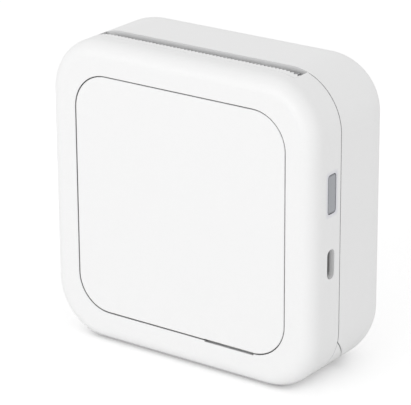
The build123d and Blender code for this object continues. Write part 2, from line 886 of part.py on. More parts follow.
# Power button: a flanged cap in the side wall, and the plunger of the switch behind it
cap_length = body_width / 2 - flange_outer_x
with BuildPart() as power_button:
    with BuildSketch(side_plane(flange_inner_x)):
        with Locations((button_y, button_z)):
            RectangleRounded(
                button_width + button_flange_margin,
                button_height + 2 * button_flange_margin,
                button_corner,
            )
    extrude(amount=button_flange)
    with BuildSketch(side_plane(flange_outer_x)):
        with Locations((button_y, button_z)):
            RectangleRounded(button_width, button_height, button_corner)
    extrude(amount=cap_length)
    fillet(power_button.faces().sort_by(Axis.X)[-1].edges(), button_edge_radius)
finish(power_button.part, "power_button")

# Tact switch: a side-pushed switch body with a pocket for its plunger
switch_face_x = flange_inner_x - plunger_out
switch_back_x = switch_face_x - switch_length
with BuildPart() as tact_switch:
    block(
        (switch_back_x, switch_face_x),
        (button_y - switch_width / 2, button_y + switch_width / 2),
        (button_z - switch_height / 2, button_z + switch_height / 2),
    )
    fillet(tact_switch.edges().filter_by(Axis.X), switch_corner)
    block(
        (switch_face_x - plunger_in - button_travel - plunger_gap, switch_face_x + plunger_out),
        (button_y - plunger_width / 2 - plunger_gap, button_y + plunger_width / 2 + plunger_gap),
        (button_z - plunger_height / 2 - plunger_gap, button_z + plunger_height / 2 + plunger_gap),
        Mode.SUBTRACT,
    )
finish(tact_switch.part, "tact_switch")

with BuildPart() as switch_plunger:
    block(
        (switch_face_x - plunger_in, flange_inner_x),
        (button_y - plunger_width / 2, button_y + plunger_width / 2),
        (button_z - plunger_height / 2, button_z + plunger_height / 2),
    )
    fillet(switch_plunger.edges().filter_by(Axis.X), plunger_corner)
finish(switch_plunger.part, "switch_plunger")

# Parts soldered on the front of the main board
def board_part(name, left_x, width, bottom_z, height, depth):
    """A low moulded or folded part that stands on the front of the board."""
    with BuildPart() as soldered:
        x = (left_x, left_x + width)
        y = (board_front_y - depth, board_front_y)
        block(x, y, (bottom_z, bottom_z + height))
        fillet(soldered.edges().filter_by(Axis.Y), min(width, height) / 12)
    finish(soldered.part, name)


lamp_z = button_z - lamp_below_button - lamp_size
flex_top_z = board_strip_top_z - flex_below_strip_top
flex_left_x = cable_centre_x - cable_half_width - flex_side_margin
flex_width = 2 * (cable_half_width + flex_side_margin)
board_part("status_led", board_arm_inner_x + lamp_inset, lamp_size, lamp_z, lamp_size, lamp_height)
board_part(
    "wireless_module",
    wireless_left_x,
    wireless_width,
    parts_bottom_z,
    wireless_height,
    wireless_thickness,
)
board_part(
    "battery_connector",
    battery_plug_left_x,
    battery_plug_width,
    parts_bottom_z,
    battery_plug_height,
    battery_plug_depth,
)
board_part(
    "flex_connector", flex_left_x, flex_width, flex_top_z - flex_height, flex_height, flex_depth
)

# Flat cable from the board up to the print head
cable_board_y = board_front_y - cable_off_board
cable_wall_y = inner_front_y + cable_off_wall
cable_sink_y = sink_front_y + cable_off_sink
sink_bottom_z = platen_z - sink_height / 2
with BuildPart() as head_cable:
    with BuildSketch(side_plane(cable_centre_x - cable_half_width)):
        with BuildLine() as cable_path:
            FilletPolyline(
                (cable_board_y, flex_top_z + seat_gap),
                (cable_board_y, flex_top_z + cable_first_rise),
                (cable_wall_y, flex_top_z + cable_second_rise),
                (cable_wall_y, cheek_top_z),
                (cable_sink_y, platen_z - cable_below_platen),
                (cable_sink_y, sink_bottom_z - head_travel / 2),
                radius=cable_bend_radius,
            )
        trace(line_width=cable_thickness)
    extrude(amount=2 * cable_half_width)
finish(head_cable.part, "head_cable")

# Mechanism frame: two cheeks on a web against the front wall, with open notches for the roller
seat_radius = bush_radius + running_gap
frame_web_rear_y = frame_web_y + frame_web_thickness
head_springs_x = (-head_spring_spacing / 2, head_spring_spacing / 2)
frame_neck_y = platen_y + frame_neck_behind_platen
notch_low_z = platen_z - seat_radius
notch_high_z = platen_z + seat_radius + notch_lift
notch_mouth_y = frame_neck_y + frame_corner
with BuildPart() as mechanism_frame:
    for x_start in (-frame_cheek_outer_x, frame_cheek_inner_x):
        with BuildSketch(side_plane(x_start)) as frame_profile:
            with BuildLine():
                Polyline(
                    (frame_web_y, frame_bottom_z),
                    (guide_y - frame_guide_gap, frame_bottom_z),
                    (frame_neck_y, platen_z - frame_neck_below_platen),
                    (frame_neck_y, frame_top_z),
                    (frame_web_y, frame_top_z),
                    close=True,
                )
            make_face()
            fillet(frame_profile.vertices().group_by(Axis.X)[-1], frame_corner)
            with Locations((platen_y, platen_z)):
                Circle(seat_radius, mode=Mode.SUBTRACT)
            with Locations(((platen_y + notch_mouth_y) / 2, (notch_low_z + notch_high_z) / 2)):
                Rectangle(
                    notch_mouth_y - platen_y, notch_high_z - notch_low_z, mode=Mode.SUBTRACT
                )
        extrude(amount=frame_cheek_thickness)
    block(
        (-frame_cheek_outer_x, frame_cheek_outer_x),
        (frame_web_y, frame_web_rear_y),
        (frame_bottom_z, frame_top_z),
    )
    with BuildSketch(face_plane(frame_web_rear_y)):
        with Locations((cable_centre_x, frame_bottom_z)):
            Rectangle(2 * (cable_half_width + cable_window_margin), 2 * cable_window_rise)
        window_z = frame_bottom_z + web_window_rise
        right_window_x = frame_cheek_inner_x - web_window_inset
        with Locations((-cable_centre_x, window_z), (right_window_x, window_z)):
            RectangleRounded(web_window_width, web_window_height, web_window_corner)
    extrude(amount=frame_web_thickness, mode=Mode.SUBTRACT)
    for x, z in frame_stakes_at:
        hole_end_y = frame_web_y + 2 * frame_web_thickness
        post(x, z, frame_web_y, hole_end_y, stake_radius + screw_fit, Mode.SUBTRACT)
    for x in head_springs_x:
        pin_root_y = frame_web_rear_y - frame_web_thickness / 2
        post(x, platen_z, pin_root_y, frame_web_rear_y + spring_pin_length, spring_pin_radius)
    outside_x = -frame_cheek_outer_x - frame_cheek_thickness
    inside_x = frame_cheek_gap - frame_cheek_inner_x
    motor_hole_radius = motor_boss_radius + motor_boss_gap
    rod(motor_pinion_y, motor_z, outside_x, inside_x, motor_hole_radius, Mode.SUBTRACT)
    rod(idler_y, idler_z, outside_x, inside_x, idler_pin_radius + seat_gap, Mode.SUBTRACT)
finish(mechanism_frame.part, "mechanism_frame")

# Print head: a ceramic heater strip on an aluminium bar, pressed towards the roller
sink_half_length = frame_cheek_inner_x - sink_side_gap
with BuildPart() as heater_bar:
    block(
        (-heater_length / 2, heater_length / 2),
        (sink_rear_y, heater_face_y),
        (platen_z - heater_height / 2, platen_z + heater_height / 2),
    )
    chamfer(heater_bar.edges().filter_by(Axis.X).sort_by(Axis.Y)[-2:], heater_edge)
finish(heater_bar.part, "heater_bar")

with BuildPart() as heat_sink:
    block(
        (-sink_half_length, sink_half_length),
        (sink_front_y, sink_rear_y),
        (sink_bottom_z, sink_bottom_z + sink_height),
    )
    with BuildSketch(face_plane(sink_front_y + sink_groove_depth)):
        with Locations((0, platen_z)):
            with GridLocations(1, sink_groove_pitch, 1, sink_grooves):
                Rectangle(2 * sink_half_length, sink_groove_width)
    extrude(amount=sink_groove_depth, mode=Mode.SUBTRACT)
    for x in head_springs_x:
        pocket_radius = head_spring_radius + head_spring_clearance
        pocket_end_y = sink_front_y + sink_groove_depth
        post(x, platen_z, sink_front_y, pocket_end_y, pocket_radius, Mode.SUBTRACT)
finish(heat_sink.part, "heat_sink")

# Springs in front of the print head, each a short coil whose wire has six sides
spring_front_y = frame_web_rear_y
spring_rear_y = sink_front_y + sink_groove_depth
spring_coil = head_spring_radius - head_spring_wire / 2
with BuildPart() as head_springs:
    for x in head_springs_x:
        pitch = (spring_rear_y - spring_front_y - head_spring_wire) / head_spring_turns
        spring_start = (x, spring_front_y + head_spring_wire / 2, platen_z)
        with BuildLine() as coil_path:
            Helix(pitch, pitch * head_spring_turns, spring_coil, spring_start, (0, 1, 0))
        with BuildSketch(Plane(coil_path.line @ 0, z_dir=coil_path.line % 0)):
            RegularPolygon(head_spring_wire / 2, 6)
        sweep(path=coil_path.line, is_frenet=True)
finish(head_springs.part, "head_springs")

# Platen roller: a rubber sleeve on a stepped steel shaft, with its gear at the left end
shaft_left_x = small_gear_x - gear_step_gap - axle_head_gap
shaft_right_x = holder_half_width + running_gap + bush_flange_length + shaft_overrun
journal_x = platen_length / 2 + sleeve_overrun
with BuildPart() as platen_rubber:
    rod(platen_y, platen_z, -platen_length / 2, platen_length / 2, platen_radius)
    chamfer(platen_rubber.edges().filter_by(GeomType.CIRCLE), platen_edge)
    rod(platen_y, platen_z, -platen_length, platen_length, sleeve_radius, Mode.SUBTRACT)
finish(platen_rubber.part, "platen_rubber")

with BuildPart() as platen_shaft:
    rod(platen_y, platen_z, shaft_left_x, shaft_right_x, platen_shaft_radius)
    chamfer(platen_shaft.edges().filter_by(GeomType.CIRCLE), shaft_edge)
    rod(platen_y, platen_z, -journal_x, journal_x, sleeve_radius - seat_gap)
finish(platen_shaft.part, "platen_shaft")

with BuildPart() as platen_bushes:
    for side in sides:
        neck_x = side * (platen_length / 2 + ear_gap)
        step_x = side * (holder_half_width + running_gap)
        end_x = step_x + side * bush_flange_length
        rod(platen_y, platen_z, min(neck_x, step_x), max(neck_x, step_x), bush_neck_radius)
        rod(platen_y, platen_z, min(step_x, end_x), max(step_x, end_x), bush_radius)
    rod(
        platen_y,
        platen_z,
        -holder_half_width - 2 * bush_flange_length,
        holder_half_width + 2 * bush_flange_length,
        platen_shaft_radius + running_gap,
        Mode.SUBTRACT,
    )
finish(platen_bushes.part, "platen_bushes")

# Platen holder: a bent plate screwed inside the cover, with two ears and a lip in the slot
with BuildPart() as platen_holder:
    block(
        (-holder_half_width, holder_half_width),
        (holder_back_y, holder_rear_y),
        (holder_bottom_z, holder_top_z),
    )
    block(
        (-holder_half_width, holder_half_width),
        (lip_front_y, holder_rear_y),
        (holder_top_z - holder_thickness, holder_top_z),
    )
    block(
        (-lip_half_length, lip_half_length),
        (lip_front_y, lip_front_y + holder_thickness),
        (holder_top_z - holder_thickness, lip_top_z),
    )
    for side in sides:
        ear_x = side * (platen_length / 2 + ear_gap)
        end_x = side * holder_half_width
        with BuildSketch(side_plane(min(ear_x, end_x))):
            with Locations((platen_y, platen_z)):
                Circle(ear_radius)
            with Locations(((platen_y + holder_back_y) / 2, platen_z)):
                Rectangle(holder_back_y - platen_y, 2 * ear_radius)
        extrude(amount=ear_thickness)
    rod(
        platen_y,
        platen_z,
        -holder_half_width - ear_thickness,
        holder_half_width + ear_thickness,
        bush_neck_radius + seat_gap,
        Mode.SUBTRACT,
    )
    for x, z in holder_screws_at:
        hole_radius = screw_radius + screw_fit
        hole_start_y = holder_back_y - holder_thickness
        post(x, z, hole_start_y, holder_rear_y + holder_thickness, hole_radius, Mode.SUBTRACT)
finish(platen_holder.part, "platen_holder")

# Gear train: the platen gear, the compound idler and the motor pinion, in mesh at rest
toward_idler = atan2(idler_z - platen_z, idler_y - platen_y)
toward_motor = atan2(motor_z - idler_z, motor_pinion_y - idler_y)
with BuildPart() as platen_gear:
    toothed_disc(platen_y, platen_z, small_gear_x, gear_width, platen_teeth, toward_idler)
    rod(platen_y, platen_z, large_gear_x, 0, platen_shaft_radius + seat_gap, Mode.SUBTRACT)
finish(platen_gear.part, "platen_gear")

idler_phase = toward_idler + pi + pi / idler_small_teeth
hub_radius = gear_module * idler_small_teeth / 2 - gear_hub_below_root
with BuildPart() as idler_gear:
    toothed_disc(idler_y, idler_z, small_gear_x, gear_width, idler_small_teeth, idler_phase)
    rod(idler_y, idler_z, large_gear_x, small_gear_x + gear_width, hub_radius)
    toothed_disc(idler_y, idler_z, large_gear_x, gear_width, idler_large_teeth, toward_motor)
    rod(idler_y, idler_z, -body_width / 2, 0, idler_pin_radius + running_gap, Mode.SUBTRACT)
finish(idler_gear.part, "idler_gear")

axle_end_x = large_gear_x - axle_head_gap
axle_head_radius = idler_pin_radius + axle_head_margin
with BuildPart() as idler_axle:
    rod(idler_y, idler_z, axle_end_x, -frame_cheek_inner_x, idler_pin_radius)
    rod(idler_y, idler_z, axle_end_x - axle_head_length, axle_end_x, axle_head_radius)
finish(idler_axle.part, "idler_axle")

# Feed motor: a round can against the left cheek, whose shaft carries the pinion
motor_face_x = -frame_cheek_inner_x + seat_gap
motor_boss_x = motor_face_x - motor_boss_length
shaft_end_x = motor_face_x + motor_shaft_depth
motor_bore = motor_shaft_radius + running_gap
with BuildPart() as feed_motor:
    rod(motor_pinion_y, motor_z, motor_face_x, motor_face_x + motor_length, motor_radius)
    chamfer(feed_motor.edges().filter_by(GeomType.CIRCLE), motor_edge)
    rod(motor_pinion_y, motor_z, motor_boss_x, motor_face_x, motor_boss_radius)
    rod(motor_pinion_y, motor_z, motor_boss_x, shaft_end_x + motor_edge, motor_bore, Mode.SUBTRACT)
finish(feed_motor.part, "feed_motor")

pinion_phase = toward_motor + pi + pi / pinion_teeth
with BuildPart() as motor_pinion:
    toothed_disc(motor_pinion_y, motor_z, large_gear_x, gear_width, pinion_teeth, pinion_phase)
    rod(motor_pinion_y, motor_z, -body_width / 2, 0, motor_shaft_radius + seat_gap, Mode.SUBTRACT)
finish(motor_pinion.part, "motor_pinion")

with BuildPart() as motor_shaft:
    shaft_start_x = large_gear_x - motor_shaft_overrun
    rod(motor_pinion_y, motor_z, shaft_start_x, shaft_end_x, motor_shaft_radius)
finish(motor_shaft.part, "motor_shaft")

# Paper sensor in the window of the guide wall
with BuildPart() as paper_sensor:
    block(
        (-sensor_width / 2, sensor_width / 2),
        (guide_y + guide_thickness - sensor_depth, guide_y + guide_thickness),
        (sensor_z - sensor_height / 2, sensor_z + sensor_height / 2),
    )
finish(paper_sensor.part, "paper_sensor")

# Screws, one group for each piece that they hold
with BuildPart() as chassis_screws:
    for x, z in chassis_screws_at:
        screw(x, z, tab_rear_y, -1)
finish(chassis_screws.part, "chassis_screws")

with BuildPart() as board_screws:
    for x, z in board_screws_at:
        screw(x, z, board_rear_y, -1)
finish(board_screws.part, "board_screws")

with BuildPart() as holder_screws:
    for x, z in holder_screws_at:
        screw(x, z, holder_back_y, 1)
finish(holder_screws.part, "holder_screws")
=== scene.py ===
# %% [markdown]
# # A pocket thermal printer
#
# The printer is a white moulded box, 82 mm square and 38 mm deep, that stands on its bottom
# edge. Its front half is a fixed housing with a flat face plate, and its rear half is a cover
# that swings back to take a roll of paper. The construction model gives every piece at its real
# size. This file gives the pieces their surfaces, adds the small things that a construction
# model leaves out, and lights them.

# %% Load the construction model
import bpy
import bmesh
import math
from mathutils import Matrix, Vector


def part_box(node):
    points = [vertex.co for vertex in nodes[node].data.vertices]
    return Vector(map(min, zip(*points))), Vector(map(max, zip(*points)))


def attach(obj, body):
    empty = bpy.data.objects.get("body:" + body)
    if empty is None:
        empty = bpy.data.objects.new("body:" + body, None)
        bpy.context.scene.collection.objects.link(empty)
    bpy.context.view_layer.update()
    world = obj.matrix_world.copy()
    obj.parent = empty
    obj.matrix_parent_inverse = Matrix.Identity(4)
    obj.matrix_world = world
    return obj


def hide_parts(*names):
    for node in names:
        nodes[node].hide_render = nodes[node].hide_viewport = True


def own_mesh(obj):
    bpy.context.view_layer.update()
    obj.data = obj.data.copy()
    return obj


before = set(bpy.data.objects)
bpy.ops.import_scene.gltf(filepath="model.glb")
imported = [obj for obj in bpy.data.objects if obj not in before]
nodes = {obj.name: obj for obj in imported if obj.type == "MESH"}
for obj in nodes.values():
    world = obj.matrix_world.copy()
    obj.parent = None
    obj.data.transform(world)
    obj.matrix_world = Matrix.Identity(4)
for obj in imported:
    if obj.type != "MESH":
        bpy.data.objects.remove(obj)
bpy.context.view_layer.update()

# %% [markdown]
# Blender works in metres, and the printer's details are tenths of a millimetre, so one short
# name for a millimetre keeps every size readable.

# %% Millimetres
MM = 0.001

# %% [markdown]
# Colours are written as the hex values that a paint chart or a screen would show. Blender mixes
# light in linear values, so one function turns each hex value into linear red, green and blue.

# %% Hex colours to linear light
def linear(hex_colour):
    """The linear red, green, blue and alpha of an sRGB hex colour."""
    channels = [int(hex_colour[i : i + 2], 16) / 255 for i in (0, 2, 4)]
    bent = [c / 12.92 if c <= 0.04045 else ((c + 0.055) / 1.055) ** 2.4 for c in channels]
    return (*bent, 1.0)


print("moulded white", [round(c, 3) for c in linear("F4F4F4")[:3]])

# %% [markdown]
# A material is a small network of nodes. One function adds a node, sets it up and links its
# inputs, so that each material below reads as a list of what it is made of. An input is either
# a plain value or the output of an earlier node.

# %% Add a node
def add_node(tree, kind, settings=None, **inputs):
    """A new node of that kind, with its settings and its inputs set or linked."""
    node = tree.nodes.new(kind)
    for name, value in (settings or {}).items():
        setattr(node, name, value)
    for name, value in inputs.items():
        numbered = name[0] == "i" and name[1:].isdigit()
        socket = node.inputs[int(name[1:]) if numbered else name.replace("_", " ")]
        if isinstance(value, bpy.types.NodeSocket):
            tree.links.new(value, socket)
        else:
            socket.default_value = value
    return node


def new_material(name):
    """An empty node material with an output, its tree and its shader."""
    material = bpy.data.materials.new(name)
    material.use_nodes = True
    tree = material.node_tree
    tree.nodes.clear()
    shader = tree.nodes.new("ShaderNodeBsdfPrincipled")
    output = tree.nodes.new("ShaderNodeOutputMaterial")
    tree.links.new(shader.outputs["BSDF"], output.inputs["Surface"])
    return material, tree, shader


def place_of(tree):
    """Where a point of the piece is, in metres, so that a pattern keeps its real size."""
    return add_node(tree, "ShaderNodeTexCoord").outputs["Object"]


def mixed(tree, share, first, second):
    """One colour that runs from the first to the second as the share goes from 0 to 1."""
    node = add_node(tree, "ShaderNodeMix", {"data_type": "RGBA"})
    tree.links.new(share, node.inputs["Factor"])
    for socket, value in ((node.inputs["A"], first), (node.inputs["B"], second)):
        if isinstance(value, bpy.types.NodeSocket):
            tree.links.new(value, socket)
        else:
            socket.default_value = value
    return node.outputs["Result"]


def mix_shade(node_tree, factor, low, high):
    """A number that runs from low to high as the factor goes from 0 to 1."""
    return add_node(
        node_tree,
        "ShaderNodeMapRange",
        None,
        Value=factor,
        To_Min=low,
        To_Max=high,
    ).outputs["Result"]


print("node helpers are ready")

# %% [markdown]
# The camera comes first. The photograph looks at the printer from a little to its right and
# from above, with a long lens, so its edges hardly converge. The angles below were worked out
# from the edges of the casing in the photograph, and the lens from how much they converge.

# %% Camera
camera_azimuth = math.radians(35.94)
camera_elevation = math.radians(20.37)
camera_roll = math.radians(-0.35)
camera_place = Vector((339.6, -475.6, 255.6)) * MM
camera_lens = 211.1
back = Vector(
    (
        math.sin(camera_azimuth) * math.cos(camera_elevation),
        -math.cos(camera_azimuth) * math.cos(camera_elevation),
        math.sin(camera_elevation),
    )
)
level_right = Vector((math.cos(camera_azimuth), math.sin(camera_azimuth), 0.0))
level_up = back.cross(level_right)
camera_right = math.cos(camera_roll) * level_right + math.sin(camera_roll) * level_up
camera_up = back.cross(camera_right)
camera = bpy.data.objects.new("camera", bpy.data.cameras.new("camera"))
bpy.context.scene.collection.objects.link(camera)
camera.data.lens = camera_lens
camera.data.clip_start = 0.01
camera.data.clip_end = 20.0
turn = Matrix((camera_right, camera_up, back)).transposed().to_4x4()
camera.matrix_world = Matrix.Translation(camera_place) @ turn
bpy.context.scene.camera = camera
bpy.context.scene.view_settings.view_transform = "Standard"
print("the camera stands", round(camera_place.length / MM), "mm from the printer's foot")

# %% [markdown]
# A product shot like this one is lit by a large soft box in front and a bright, even room. The
# front face is the brightest side, and the top and the right side are a step darker. The even
# room is the world's light, and two area lamps stand for the soft boxes. The background is
# white for the camera alone, so it puts no more light on the printer.

# %% World, lamps and floor
room_light = 0.785
key_power = 5.0
key_side = 0.9
key_direction = Vector((-0.20, -1.0, 0.12)).normalized()
fill_power = 0.55
fill_side = 0.7
fill_direction = Vector((1.0, -0.25, 0.5)).normalized()
lamp_distance = 1.2
aim = Vector((0.0, 0.0, 41.0 * MM))
floor_half = 4.0
floor_lift = 0.26

world = bpy.data.worlds.new("bright room")
bpy.context.scene.world = world
world.use_nodes = True
world.node_tree.nodes.clear()
sky_tree = world.node_tree
sky_white = linear("FFFFFF")
room = add_node(sky_tree, "ShaderNodeBackground", None, Color=sky_white, Strength=room_light)
white = add_node(sky_tree, "ShaderNodeBackground", None, Color=sky_white, Strength=1.0)
path = add_node(sky_tree, "ShaderNodeLightPath")
seen = path.outputs["Is Camera Ray"]
for ray in ("Is Glossy Ray", "Is Transmission Ray"):
    seen = add_node(
        sky_tree, "ShaderNodeMath", {"operation": "MAXIMUM"}, i0=seen, i1=path.outputs[ray]
    ).outputs["Value"]
sky = add_node(
    sky_tree,
    "ShaderNodeMixShader",
    None,
    Fac=seen,
    i1=room.outputs["Background"],
    i2=white.outputs["Background"],
)
add_node(sky_tree, "ShaderNodeOutputWorld", None, Surface=sky.outputs["Shader"])


def soft_box(name, direction, power, side):
    """A square area lamp that shines on the printer from that direction."""
    lamp = bpy.data.objects.new(name, bpy.data.lights.new(name, "AREA"))
    bpy.context.scene.collection.objects.link(lamp)
    lamp.data.energy = power
    lamp.data.size = side
    lamp.location = aim + direction * lamp_distance
    lamp.rotation_mode = "QUATERNION"
    lamp.rotation_quaternion = (-direction).to_track_quat("-Z", "Y")
    return lamp


soft_box("key soft box", key_direction, key_power, key_side)
soft_box("fill soft box", fill_direction, fill_power, fill_side)

floor_mesh = bpy.data.meshes.new("floor")
floor_corners = [(x * floor_half, y * floor_half) for x, y in ((-1, -1), (1, -1), (1, 1), (-1, 1))]
floor_mesh.from_pydata([(x, y, 0.0) for x, y in floor_corners], [], [(0, 1, 2, 3)])
floor = bpy.data.objects.new("floor", floor_mesh)
bpy.context.scene.collection.objects.link(floor)
paper, paper_tree, paper_shader = new_material("white paper sweep")
paper_shader.inputs["Base Color"].default_value = linear("F6F6F6")
paper_shader.inputs["Roughness"].default_value = 0.9
paper_shader.inputs["Emission Color"].default_value = linear("FFFFFF")
paper_path = add_node(paper_tree, "ShaderNodeLightPath")
lift = add_node(
    paper_tree,
    "ShaderNodeMath",
    {"operation": "MULTIPLY"},
    i0=paper_path.outputs["Is Camera Ray"],
    i1=floor_lift,
)
paper_tree.links.new(lift.outputs["Value"], paper_shader.inputs["Emission Strength"])
floor_mesh.materials.append(paper)
print("lit by the room at", room_light, "and by two soft boxes")

# %% [markdown]
# Most finishes here share one build: a fine grain drives a slight change of colour, a slight
# change of roughness and a shallow bump. Only the sizes and strengths differ. The grain size and
# the bump's depth are in millimetres. Most real grains here are under a tenth of a millimetre, so
# they are drawn as coarse as they need to be to show.

# %% Grain shared by the finishes
def grained(tree, shader, colours, roughness, grain, depth, stretch=(1, 1, 1), detail=3.0):
    """Lays a grain over the shader's colour, roughness and surface, and returns its value."""
    stretched = add_node(
        tree, "ShaderNodeMapping", {"vector_type": "POINT"}, Vector=place_of(tree), Scale=stretch
    )
    noise = add_node(
        tree,
        "ShaderNodeTexNoise",
        None,
        Vector=stretched.outputs["Vector"],
        Scale=1.0 / (grain * MM),
        Detail=detail,
    )
    value = noise.outputs["Fac"]
    tint = mixed(tree, value, linear(colours[0]), linear(colours[1]))
    tree.links.new(tint, shader.inputs["Base Color"])
    tree.links.new(mix_shade(tree, value, *roughness), shader.inputs["Roughness"])
    bump = add_node(tree, "ShaderNodeBump", None, Strength=1.0, Distance=depth * MM, Height=value)
    tree.links.new(bump.outputs["Normal"], shader.inputs["Normal"])
    return value


def over_colour(tree, shader, share, colour):
    """Lays a colour over what the shader has, where the share is above 0."""
    below = shader.inputs["Base Color"].links[0].from_socket
    tree.links.new(mixed(tree, share, below, linear(colour)), shader.inputs["Base Color"])


def painted_joint_shade(tree, shader, colour, width, share, open_from=0.5):
    """Paints shade into joints narrower than that width in millimetres, darker where more closed in."""
    # Painted shade: ambient occlusion darkens the colour in narrow joints and creases.
    crease = add_node(
        tree, "ShaderNodeAmbientOcclusion", {"samples": 6, "inside": False}, Distance=width * MM
    )
    depth = add_node(
        tree,
        "ShaderNodeMapRange",
        None,
        Value=crease.outputs["AO"],
        From_Min=0.05,
        From_Max=open_from,
        To_Min=share,
        To_Max=0.0,
    )
    over_colour(tree, shader, depth.outputs["Result"], colour)


def math_node(tree, operation, *values):
    """The result of one sum on numbers or outputs."""
    inputs = {f"i{index}": value for index, value in enumerate(values)}
    return add_node(tree, "ShaderNodeMath", {"operation": operation}, **inputs).outputs["Value"]


def vector_node(tree, operation, *values):
    """The vector that one sum on vectors gives."""
    inputs = {f"i{index}": value for index, value in enumerate(values)}
    node = add_node(tree, "ShaderNodeVectorMath", {"operation": operation}, **inputs)
    return node.outputs["Value" if operation == "LENGTH" else "Vector"]


def distance_to_box(tree, low, high, across=(1.0, 1.0, 1.0)):
    """How far a point is from a box, in metres. An axis whose factor is 0 isn't counted."""
    from_middle = vector_node(tree, "SUBTRACT", place_of(tree), (low + high) / 2)
    beyond = vector_node(tree, "SUBTRACT", vector_node(tree, "ABSOLUTE", from_middle), (high - low) / 2)
    outside = vector_node(tree, "MAXIMUM", beyond, (0.0, 0.0, 0.0))
    return vector_node(tree, "LENGTH", vector_node(tree, "MULTIPLY", outside, across))


print("grain helpers are ready")

# %% [markdown]
# The casing is ABS, moulded in a tool whose faces were spark eroded. That gives the eye a soft,
# even white with no clear reflections. The real grain is under a tenth of a millimetre, too
# fine for the render, so it is drawn at four tenths. Shade is painted into its joints.
#
# Three marks are painted on this moulding. A faint lilac edge is painted round the power button,
# a painted glow for the lamp behind it shining a little way into the wall. The line between the
# two halves runs on round the bottom corner, where the cover itself turns off along the bevel, and
# there it is painted as a grey line, the painted shade of a shallow groove in the foot. And the USB
# port's wall gets painted shade, dark at its inner end and as light as the wall at its mouth, so
# its colour follows how deep a point is.

# %% Casing: spark-textured ABS
SHELL_WHITE = ("F2F2F2", "F5F5F5")
painted_glow_reach = 1.3 * MM
painted_glow_share = 0.45
painted_groove_half_width = 0.09 * MM
button_low, button_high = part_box("power_button")
cover_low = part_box("rear_cover")[0]
socket_low, socket_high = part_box("usb_socket")
port_wall = Vector((0.0, 0.35, 0.05)) * MM
port_shade_depth = 0.7 * MM
port_clear_depth = 1.4 * MM
port_depth = 2.55 * MM
inside_margin = 0.01 * MM
half_parting_gap = 0.15 * MM
flange_margin = Vector((0.0, 0.45, 0.9)) * MM
parting_y = cover_low.y - half_parting_gap
painted_groove_top_z = 12.0 * MM

casing_abs, tree, shader = new_material("spark textured ABS")
grained(tree, shader, SHELL_WHITE, (0.38, 0.46), 0.4, 0.004)
cap_low, cap_high = button_low + flange_margin, button_high - flange_margin
from_cap = distance_to_box(tree, cap_low, cap_high)
# Painted glow: a lilac tint round the button for the lamp's light in the wall.
painted_glow_edge = add_node(
    tree, "ShaderNodeMapRange", None, Value=from_cap, From_Max=painted_glow_reach, To_Min=painted_glow_share, To_Max=0.0
)
over_colour(tree, shader, painted_glow_edge.outputs["Result"], "C4C4D4")
place = add_node(tree, "ShaderNodeSeparateXYZ", None, Vector=place_of(tree))
# Painted shade: a grey line at the foot stands for the shade of a groove that isn't modelled.
in_line = math_node(tree, "COMPARE", place.outputs["Y"], parting_y, painted_groove_half_width)
low_down = math_node(tree, "LESS_THAN", place.outputs["Z"], painted_groove_top_z)
painted_groove_shade = math_node(tree, "MULTIPLY", in_line, low_down)
over_colour(tree, shader, painted_groove_shade, "B9B9B9")
# Painted shade in the casing's joints and creases.
painted_joint_shade(tree, shader, "5E5E60", 2.6, 0.8, 0.55)
port_low = socket_low - port_wall
port_high = socket_high + port_wall
port_high.x = socket_high.x + port_depth
in_port = math_node(tree, "LESS_THAN", distance_to_box(tree, port_low, port_high), inside_margin)
outward = add_node(
    tree,
    "ShaderNodeMapRange",
    None,
    Value=place.outputs["X"],
    From_Min=socket_high.x + port_shade_depth,
    From_Max=socket_high.x + port_clear_depth,
).outputs["Result"]
# Painted shade: the port's wall runs from dark grey at its inner end to white at its mouth.
painted_port_shade = mixed(tree, outward, linear("7A7A7C"), linear("FAFAFA"))
below = shader.inputs["Base Color"].links[0].from_socket
tree.links.new(mixed(tree, in_port, below, painted_port_shade), shader.inputs["Base Color"])
shader.inputs["IOR"].default_value = 1.53
print(casing_abs.name, "for both halves, parted at y =", round(parting_y / MM, 2), "mm")

# %% [markdown]
# The face plate is moulded in the same white against a smoother, lapped tool face, so it is a
# little glossier than the frame round it.

# %% Face plate: satin ABS
plate_abs, tree, shader = new_material("satin moulded ABS")
grained(tree, shader, ("F3F3F3", "F5F5F5"), (0.30, 0.36), 0.9, 0.002)
# Painted shade in the face plate's joints.
painted_joint_shade(tree, shader, "5C5C5E", 1.4, 0.8)
shader.inputs["IOR"].default_value = 1.53
shader.inputs["Coat Weight"].default_value = 0.08
shader.inputs["Coat Roughness"].default_value = 0.25
print(plate_abs.name, "for the face plate")

# %% [markdown]
# The button is a tinted polycarbonate cap, a light pipe for the lamp behind it. Seen from
# outside it is a cool grey with a satin face, and a little light gets a short way into it. Its
# rim is painted darker, a painted shade for looking through more of the tinted plastic there.

# %% Button: tinted polycarbonate
button_pc, tree, shader = new_material("tinted polycarbonate")
grained(tree, shader, ("A3A5AA", "AAACB1"), (0.28, 0.36), 0.5, 0.003)
rim = Vector((button_high.x, 0.3 * MM, 0.5 * MM))
from_face = distance_to_box(tree, cap_low + rim, cap_high - rim, (0.0, 1.0, 1.0))
# Painted shade: the rim of the button's face is darkened.
painted_rim_shade = add_node(
    tree, "ShaderNodeMapRange", None, Value=from_face, From_Max=0.5 * MM, To_Min=0.0, To_Max=0.8
)
over_colour(tree, shader, painted_rim_shade.outputs["Result"], "6E7074")
shader.inputs["IOR"].default_value = 1.58
shader.inputs["Subsurface Weight"].default_value = 0.15
shader.inputs["Subsurface Radius"].default_value = (0.6 * MM, 0.6 * MM, 0.8 * MM)
print(button_pc.name, "for the power button")

# %% [markdown]
# Inside, the roller holder is a grey nylon that shows as a pale band in the paper slot, and the
# chassis is a darker glass-filled nylon, whose fibres leave a faint flow pattern.

